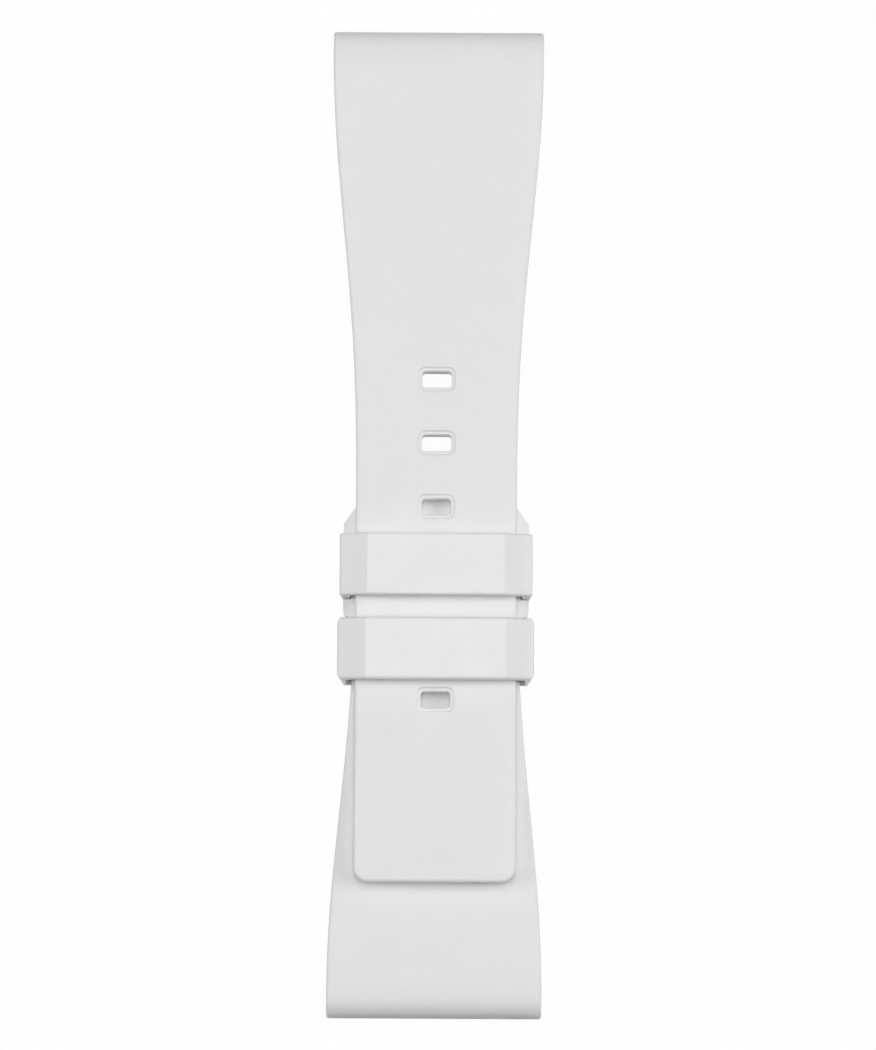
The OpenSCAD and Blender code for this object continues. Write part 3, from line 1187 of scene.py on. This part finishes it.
@dataclass
class Keeper:
    """A moulded loop with a flat top, two sloped facets and sides that lean in below.

    Attributes:
        flat: width of the flat top.
        inner_w: width of the opening.
        top_r: radius of the outer edge along the top.
        side_r: radius of the outer edge along the sides.
        lean: how far each side leans in at its foot.
        drop: how far each facet falls.
        top_t: thickness of the roof.
        base_t: thickness of the floor.
        haunch_in: width of the slope inside each upper corner.
        haunch_down: height of that slope.
        outer_rows: lines between the middle and the outer edge, as shares of the way.
        face_rows: lines on the end face, as shares of its height.
        inner_rows: lines on the inside, as shares of the way from the middle.
    """

    node: str
    body: Body
    flat: float
    inner_w: float
    top_r: float
    side_r: float
    lean: float = 0.35
    drop: float = 0.9
    top_t: float = 1.1
    base_t: float = 1.0
    haunch_in: float = 1.5
    haunch_down: float = 0.5
    inner_r: float = 0.15
    outer_radii: tuple[float, ...] = (0.5, 0.4, 0.12)
    inner_radii: tuple[float, ...] = (0.3, 0.3, 0.4)
    arc_steps: int = 6
    fractions: tuple[float, ...] = (0.02, 0.08, 0.2, 0.35, 0.5, 0.65, 0.8, 0.92, 0.98)
    outer_rows: tuple[float, ...] = (0.0, 0.5, 0.9, 0.98)
    face_rows: tuple[float, ...] = (0.06, 0.5, 0.94)
    inner_rows: tuple[float, ...] = (0.95, 0.5, 0.0)

    def __post_init__(self) -> None:
        """Reads the loop's width, length, height and place from the frame."""
        box = Box.of(self.node)
        self.half, _, self.height = box.high
        self.half_len, self.y = box.half[1], box.middle[1]

    def loop(self, right: list[tuple[float, float]],
             radii: tuple[float, ...]) -> tuple[np.ndarray, np.ndarray]:
        """A closed outline round the strap.

        Args:
            right: its corners (x, z) on the right side, lowest first.
            radii: one radius for each of them.

        Returns:
            The points and their outward normals.
        """
        side = np.array(right)
        corners = np.concatenate([side, side[::-1] * np.array([-1.0, 1.0])])
        both = np.array([*radii, *radii[::-1]])
        return rounded_path(corners, both, self.arc_steps, self.fractions)

    def outer_face(self, turn: np.ndarray) -> np.ndarray:
        """The outer face and its rounded edge, from the middle to the end face.

        The edge's radius grows from the top's to the sides' with the square of the normal's
        sideways part, and the face sinks there by radius times (1 - cos(turn)).

        Args:
            turn: how far each point of the edge has turned, shape (1, count).

        Returns:
            Points of shape (outline, rows, 3).
        """
        outline, normal = self.loop([(self.half - self.lean, 0.0),
                                     (self.half, self.height - self.drop),
                                     (self.flat / 2, self.height)], self.outer_radii)
        radius = self.top_r + (self.side_r - self.top_r) * normal[:, :1] ** 2
        flat_y = -(self.half_len - radius) * np.array([self.outer_rows])
        edge_y = -(self.half_len - radius) - radius * np.sin(turn)
        sink = np.concatenate([0 * flat_y, radius * (1 - np.cos(turn))], axis=1)
        return self.at(outline, -normal, sink, np.concatenate([flat_y, edge_y], axis=1))

    def inner_face(self, turn: np.ndarray) -> np.ndarray:
        """The rounded inner edge and the inner face, from the end face to the middle.

        Args:
            turn: how far each point of the edge has turned, shape (1, count).

        Returns:
            Points of shape (outline, rows, 3).
        """
        wall, roof = self.inner_w / 2, self.height - self.top_t
        outline, normal = self.loop([(wall, self.base_t), (wall, roof - self.haunch_down),
                                     (wall - self.haunch_in, roof)], self.inner_radii)
        run = -(self.half_len - self.inner_r) * np.array([self.inner_rows])
        rise = np.concatenate([self.inner_r * (1 - np.sin(turn)), 0 * run], axis=1)
        y = np.concatenate([self.inner_r * (1 - np.cos(turn)) - self.half_len, run], axis=1)
        return self.at(outline, normal, np.repeat(rise, len(outline), axis=0),
                       np.repeat(y, len(outline), axis=0))

    def build(self, finish: bpy.types.Material, name: str) -> bpy.types.Object:
        """Builds the loop as one surface, closed round the strap and round its own section.

        The section is followed from the middle of the outer face over a quarter round, down
        the end face, over the inner quarter round to the middle of the inner face, and back
        on the other side.

        Args:
            finish: its material.
            name: the piece's name.

        Returns:
            The finished piece.
        """
        turn = degrees(0, 90, self.arc_steps)[None, :]
        outer, inner = self.outer_face(turn), self.inner_face(turn)
        share = np.array(self.face_rows)[None, :, None]
        face = outer[:, -1:] + (inner[:, :1] - outer[:, -1:]) * share
        front = np.concatenate([outer, face, inner], axis=1)
        back = front[:, -2:0:-1] * np.array([1.0, -1.0, 1.0])
        loop = np.concatenate([front, back], axis=1) + np.array([0.0, self.y, 0.0])
        shell = Shell()
        shell.add(loop, ring_rows=True, ring_columns=True)
        return fit(shell.piece(name), finish, self.body, Slot.RUBBER, self.node)

    @staticmethod
    def at(outline: np.ndarray, normal: np.ndarray, move: np.ndarray,
           y: np.ndarray) -> np.ndarray:
        """Points of an outline moved along its normals, at places y along the strap."""
        plan = outline[:, None] + normal[:, None] * move[..., None]
        return stack(plan[..., 0], y, plan[..., 1])


# ---------------------------------------------------------------- buckle


@dataclass
class BuckleFrame:
    """The hard plate under the long half, and the stud riveted to it.

    Attributes:
        plate_edge: width of the plate's rounded edges.
        stud_edge: width of the stud's.
        steps: how many faces round each edge.
        flat_angle: faces that meet at less than this, in degrees, are one face.
        sharp_angle: edges sharper than this, in degrees, are rounded.
        merge: corners closer than this, in metres, are one corner.
    """

    plate_edge: float = 0.18
    stud_edge: float = 0.2
    steps: int = 3
    flat_angle: float = 1.0
    sharp_angle: float = 28.0
    merge: float = 1e-6

    def softened(self, node: str, width: float, finish: bpy.types.Material) -> bpy.types.Object:
        """A copy of a CAD solid with its flat faces joined and its edges rounded.

        Args:
            node: the CAD node to copy.
            width: how wide the rounded edges are, in millimetres.
            finish: the piece's material.

        Returns:
            The finished piece.
        """
        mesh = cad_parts[node].data.copy()
        mesh.name = f"{node}_skin"
        work = bmesh.new()
        work.from_mesh(mesh)
        bmesh.ops.remove_doubles(work, verts=work.verts, dist=self.merge)
        bmesh.ops.dissolve_limit(work, angle_limit=math.radians(self.flat_angle),
                                 verts=work.verts, edges=work.edges)
        sharp = [e for e in work.edges
                 if e.is_manifold and e.calc_face_angle() > math.radians(self.sharp_angle)]
        bmesh.ops.bevel(work, geom=sharp, offset=width * MM, segments=self.steps,
                        affect="EDGES", profile=0.5, clamp_overlap=True)
        return fit(closed_piece(work, mesh, mesh.name), finish, Body.BUCKLE, Slot.COATING, node)

    def build(self, finish: bpy.types.Material) -> list[bpy.types.Object]:
        """Builds plate and stud in one finish, and returns them."""
        return [self.softened("buckle_plate", self.plate_edge, finish),
                self.softened("buckle_stud", self.stud_edge, finish)]


# ---------------------------------------------------------------- turned metal parts


def turned(name: str, profile: np.ndarray, axis: tuple[float, float],
           closed: bool, sides: int) -> bpy.types.Object:
    """A surface turned about an axis along X.

    Each point is (x, axis y + radius cos(angle), axis z + radius sin(angle)).

    Args:
        name: the new object's name.
        profile: x and radius of each point, shape (count, 2).
        axis: y and z of the axis.
        closed: True if the profile's last point joins its first.
        sides: how many steps the full turn has.

    Returns:
        The new object.
    """
    angle = full_turn(sides)
    x, radius = profile[:, :1], profile[:, 1:]
    shell = Shell()
    shell.add(stack(x, axis[0] + radius * np.cos(angle), axis[1] + radius * np.sin(angle)),
              ring_rows=closed, ring_columns=True)
    return shell.piece(name)


@dataclass
class Tube:
    """A plain tube with broken edges, as long and as wide as its CAD node."""

    node: str
    body: Body
    bore_r: float
    edge: float = 0.05
    arc_steps: int = 3
    fractions: tuple[float, ...] = (0.02, 0.25, 0.5, 0.75, 0.98)
    sides: int = 48

    def build(self, finish: bpy.types.Material) -> bpy.types.Object:
        """Builds the tube: outside, both ends and bore as one closed profile.

        Args:
            finish: its material.

        Returns:
            The finished piece.
        """
        box = Box.of(self.node)
        half, _, outer = box.half
        corners = np.array([(-half, self.bore_r), (half, self.bore_r), (half, outer),
                            (-half, outer)])
        points, _ = rounded_path(corners, np.full(4, self.edge), self.arc_steps, self.fractions)
        points[:, 0] += box.middle[0]
        made = turned(f"{self.node}_skin", points, box.axis, True, self.sides)
        return fit(made, finish, self.body, Slot.STEEL, self.node)


@dataclass
class Coil:
    """The coil between the bar's tips, in two halves that meet in the bar's middle and ride on
    the short half.
    """

    node: str = "buckle_bar_spring"
    wire_r: float = 0.07
    coil_r: float = 0.27
    turns: int = 9
    steps_per_turn: int = 24
    wire_sides: int = 10

    def half(self, side: float, tip: str, finish: bpy.types.Material) -> bpy.types.Object:
        """Builds one half as a wire swept along a helix, closed at both ends.

        A point lies at x = side (along + wire radius sin(b)), and at a distance of
        coil radius + wire radius cos(b) from the bar's axis, turned with the helix. The half
        runs from the bar's middle out to the spring's end.

        Args:
            side: -1 for the left half, 1 for the right.
            tip: the tip's name, which goes into the half's name.
            finish: the wire's material.

        Returns:
            The finished half.
        """
        box = Box.of(self.node)
        reach = box.high[0]
        steps = self.turns * self.steps_per_turn
        turn = np.linspace(0, 2 * math.pi * self.turns, steps + 1)
        turn = np.concatenate([turn[:1], turn, turn[-1:]])[:, None]
        wire = np.concatenate([[0.0], np.full(steps + 1, self.wire_r), [0.0]])[:, None]
        around = full_turn(self.wire_sides)
        along = (reach - self.wire_r) * turn / turn[-1]
        radius = self.coil_r + wire * np.cos(around)
        shell = Shell()
        shell.add(stack(side * (along + wire * np.sin(around)),
                        box.axis[0] + radius * np.cos(turn),
                        box.axis[1] + side * radius * np.sin(turn)), ring_columns=True)
        made = fit(shell.piece(f"{self.node}_{tip}_skin"), finish, Body.SHORT, Slot.SPRING,
                   self.node)
        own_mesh(made)
        return made

    def build(self, finish: bpy.types.Material) -> list[bpy.types.Object]:
        """Builds both halves, which meet in the bar's middle."""
        return [self.half(-1.0, "left", finish), self.half(1.0, "right", finish)]


@dataclass
class SpringBar:
    """The spring bar that joins buckle and short half: body, two sprung tips and a coil.

    Attributes:
        bore_r: radius of the body's bore.
        stem_len: from the tip's inner end to its collar.
        stem_gap: how far the stem's end keeps clear of the coil.
        collar_t: the collar's thickness.
        dome: length of the pin's domed end.
        pin_end: where the pin's straight part ends, from its outer end.
    """

    bore_r: float = 0.4
    stem_r: float = 0.36
    stem_len: float = 3.83
    stem_gap: float = 0.05
    collar_r: float = 0.62
    collar_t: float = 0.27
    pin_r: float = 0.38
    pin_end: float = 0.3
    dome: float = 0.25
    dome_steps: int = 5
    edge: float = 0.06
    sides: int = 32

    def tip(self, side: float, node: str, body: Body,
            finish: bpy.types.Material) -> bpy.types.Object:
        """Builds one tip: stem, collar and pin, with an elliptical dome at the pin's end.

        Args:
            side: -1 for the left tip, 1 for the right.
            node: the CAD node that it stands for.
            body: the body that it moves with.
            finish: its material.

        Returns:
            The finished tip.
        """
        box = Box.of(node)
        inner, outer = sorted((abs(box.low[0]), abs(box.high[0])))
        start, edge, quarter = inner + self.stem_gap, self.edge, degrees(0, 90, self.dome_steps)
        collar = inner + self.stem_len
        collar_end = collar + self.collar_t
        lower = [(start, 0.0), (start, self.stem_r - edge), (start + edge, self.stem_r),
                 (collar, self.stem_r), (collar, self.collar_r - edge),
                 (collar + edge, self.collar_r), (collar_end - edge, self.collar_r),
                 (collar_end, self.collar_r - edge), (collar_end, self.pin_r),
                 (outer - self.pin_end, self.pin_r)]
        end = stack(outer - self.dome * (1 - np.sin(quarter)), self.pin_r * np.cos(quarter))
        profile = np.concatenate([np.array(lower), end]) * np.array([side, 1.0])
        made = turned(f"{node}_skin", profile, box.axis, False, self.sides)
        return fit(made, finish, body, Slot.STEEL, node)

    def build(self, steel: bpy.types.Material,
              wire: bpy.types.Material) -> list[bpy.types.Object]:
        """Builds the bar, its tips and the coil inside it.

        Args:
            steel: material of the body and the tips.
            wire: material of the coil.

        Returns:
            The finished pieces.
        """
        return [Tube("buckle_bar_tube", Body.SHORT, self.bore_r).build(steel),
                self.tip(-1.0, "buckle_bar_tip_left", Body.TIP_LEFT, steel),
                self.tip(1.0, "buckle_bar_tip_right", Body.TIP_RIGHT, steel),
                *Coil().build(wire)]


# ---------------------------------------------------------------- studio


@dataclass(frozen=True)
class Lamp:
    """A square soft lamp that faces the strap's middle, with metres and watts for its sizes."""

    name: str
    place: tuple[float, float, float]
    size: float
    power: float

    def build(self) -> None:
        """Adds the lamp and turns it to the middle."""
        data = bpy.data.lights.new(self.name, "AREA")
        data.shape = "SQUARE"
        data.size = self.size
        data.energy = self.power
        lamp = placed(self.name, data)
        lamp.location = self.place
        lamp.rotation_euler = (-Vector(self.place)).to_track_quat("-Z", "Y").to_euler()


@dataclass
class Studio:
    """A white floor, soft lamps above and at both sides, and a long lens almost overhead.

    Attributes:
        elevation: the camera's, in degrees above the strap.
        distance: from the camera to the point it aims at.
        lean: how far the camera is turned about its line of sight, in degrees.
        lens: focal length.
        clip_start: nearest distance that the camera sees, in metres.
        fill: strength of the even light from all round.
        paper_tone: the floor's tone for light that bounces off it.
        floor_glow: how much of the floor's white is its own; the rest takes the shadow.
        floor_half: half the floor's width, in metres.
        floor_drop: how far the floor lies below the strap.
    """

    elevation: float = 82.0
    distance: float = 640.0
    aim: tuple[float, float, float] = (0.19, -0.715, 3.0)
    lean: float = 0.32
    lens: float = 194.3
    clip_start: float = 0.01
    lamps: tuple[Lamp, ...] = (Lamp("overhead", (0.0, 0.0, 1.0), 0.25, 1.70),
                               Lamp("upper", (0.0, 0.342, 0.94), 0.3, 1.32),
                               Lamp("right", (0.818, 0.043, 0.574), 0.6, 4.26),
                               Lamp("left", (-0.799, 0.0, 0.602), 0.6, 3.30))
    fill: float = 0.081
    paper_tone: float = 0.5
    floor_glow: float = 0.972
    floor_half: float = 3.0
    floor_drop: float = 0.05

    def floor(self) -> None:
        """A wide floor under the strap: white to the eye, and it still takes a shadow."""
        size, z = self.floor_half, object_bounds()[0][2] - self.floor_drop * MM
        mesh = bpy.data.meshes.new("floor")
        mesh.from_pydata([(-size, -size, z), (size, -size, z), (size, size, z),
                          (-size, size, z)], [], [(0, 1, 2, 3)])
        material = bpy.data.materials.new("pale_floor")
        material.use_nodes = True
        nodes, links = material.node_tree.nodes, material.node_tree.links
        nodes.clear()
        paper, white = nodes.new("ShaderNodeBsdfDiffuse"), nodes.new("ShaderNodeBsdfDiffuse")
        paper.inputs["Color"].default_value = (*(self.paper_tone,) * 3, 1.0)
        white.inputs["Color"].default_value = (1.0, 1.0, 1.0, 1.0)
        lit = nodes.new("ShaderNodeMixShader")
        lit.inputs["Fac"].default_value = self.floor_glow
        links.new(white.outputs[0], lit.inputs[1])
        links.new(nodes.new("ShaderNodeEmission").outputs[0], lit.inputs[2])
        two_looks(material.node_tree, "Material", paper, lit)
        mesh.materials.append(material)
        placed("floor", mesh)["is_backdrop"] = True

    def world(self) -> None:
        """A white backdrop to the eye, and a weak even light on everything else."""
        world = bpy.data.worlds.new("even_fill")
        world.use_nodes = True
        bpy.context.scene.world = world
        nodes = world.node_tree.nodes
        nodes.clear()
        white, fill = nodes.new("ShaderNodeBackground"), nodes.new("ShaderNodeBackground")
        white.inputs["Color"].default_value = fill.inputs["Color"].default_value = (1, 1, 1, 1)
        fill.inputs["Strength"].default_value = self.fill
        two_looks(world.node_tree, "World", fill, white)

    def camera(self) -> None:
        """A long lens at the set elevation, looking along +Y, leaning a little."""
        data = bpy.data.cameras.new("camera")
        data.lens = self.lens
        data.clip_start = self.clip_start
        up = math.radians(self.elevation)
        back = Vector((0.0, -math.cos(up), math.sin(up)))
        place = (Vector(self.aim) + back * self.distance) * MM
        tilt = Matrix.Rotation(math.radians(90.0 - self.elevation), 4, "X")
        lean = Matrix.Rotation(math.radians(self.lean), 4, "Z")
        camera = placed("camera", data)
        camera.matrix_world = Matrix.Translation(place) @ tilt @ lean
        bpy.context.scene.camera = camera

    def build(self) -> None:
        """Sets up floor, lamps, camera and the plain view transform."""
        self.floor()
        self.world()
        for lamp in self.lamps:
            lamp.build()
        self.camera()
        bpy.context.scene.view_settings.view_transform = "Standard"


def seen_directly(tree: bpy.types.NodeTree) -> bpy.types.NodeSocket:
    """One where a ray comes from the camera, a reflection or a clear surface.

    Args:
        tree: the node tree to add to.

    Returns:
        The largest of the three Light Path values.
    """
    path = tree.nodes.new("ShaderNodeLightPath")
    value = path.outputs["Is Camera Ray"]
    for name in ("Is Glossy Ray", "Is Transmission Ray"):
        node = tree.nodes.new("ShaderNodeMath")
        node.operation = "MAXIMUM"
        tree.links.new(value, node.inputs[0])
        tree.links.new(path.outputs[name], node.inputs[1])
        value = node.outputs[0]
    return value


def two_looks(tree: bpy.types.NodeTree, kind: str, unseen: bpy.types.Node,
              seen: bpy.types.Node) -> None:
    """Ends a node tree with one shader for the eye and another for light that bounces.

    Args:
        tree: the node tree to end.
        kind: "Material" or "World".
        unseen: the shader that lights the strap.
        seen: the shader that the camera and reflections see.
    """
    choice = tree.nodes.new("ShaderNodeMixShader")
    output = tree.nodes.new(f"ShaderNodeOutput{kind}")
    for source, target in ((seen_directly(tree), choice.inputs["Fac"]),
                           (unseen.outputs[0], choice.inputs[1]),
                           (seen.outputs[0], choice.inputs[2]),
                           (choice.outputs[0], output.inputs["Surface"])):
        tree.links.new(source, target)


def main() -> None:
    """Builds every piece in order, then the studio."""
    logging.basicConfig(level=logging.INFO, format="%(name)s: %(message)s")
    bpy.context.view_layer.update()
    rubber = Rubber("white_rubber").make()
    keeper_rubber = Rubber("white_rubber_keepers", rough_low=0.3, rough_high=0.38).make()
    coating = Coating("white_coating").make()
    steel = Steel("bar_steel").make()
    wire = Steel("spring_steel", tone=0.52, ring_mm=0.12).make()

    ShortHalf().build(rubber)
    LongHalf().build(rubber)
    Keeper("fixed_keeper", Body.BUCKLE, flat=15.4, inner_w=19.3, top_r=0.25,
           side_r=0.25).build(keeper_rubber, "fixed_keeper_skin")
    Keeper("free_keeper", Body.FREE_KEEPER, flat=15.7, inner_w=20.1, top_r=0.32,
           side_r=0.75).build(keeper_rubber, "free_keeper_skin")
    BuckleFrame().build(coating)
    SpringBar().build(steel, wire)
    for node, body, bore_r in (("long_end_tube", Body.BUCKLE, 1.0),
                               ("short_end_tube", Body.SHORT, 1.0),
                               ("buckle_end_tube", Body.SHORT, 0.7)):
        Tube(node, body, bore_r).build(steel)
    Studio().build()


if __name__ == "__main__":
    main()
